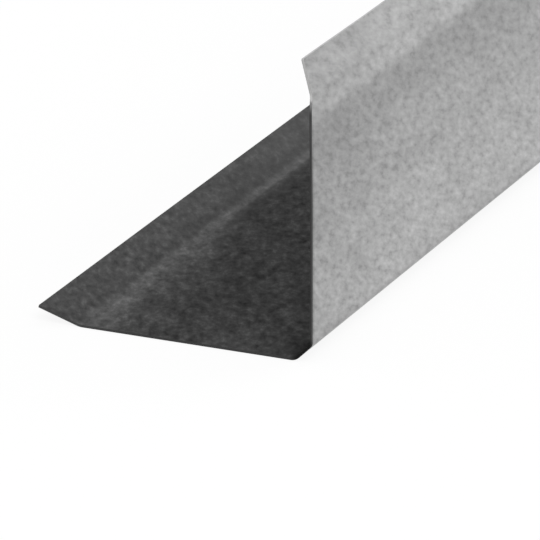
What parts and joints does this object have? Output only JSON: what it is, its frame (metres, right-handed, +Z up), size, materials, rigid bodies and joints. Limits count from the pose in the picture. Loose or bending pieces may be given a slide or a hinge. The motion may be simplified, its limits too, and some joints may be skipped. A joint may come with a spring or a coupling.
{
  "type": "nosing flashing",
  "caption": "Straight stick of thin galvanised sheet bent into an angle with a bevelled nose, each free edge kicked inward, to cover and protect a roof edge.",
  "frame": {"origin": "on the floor under the middle of the deck leg's reach, from the face leg's outer side to the free edge of the deck leg's kick, at mid length", "axes": "+Y along the stick, +X out of the outer side of the face leg, +Z up from the deck leg, which lies on the floor"},
  "size_m": [0.0504, 3.048, 0.0528],
  "materials": {
    "galvanised_steel": "hot-dip zinc with minimised spangle, fine mottled grey and semi-matt; the inner side is a darker and duller grey"
  },
  "bodies": {
    "root": {"nosing_flashing": "galvanised_steel"}
  },
  "joints": []
}
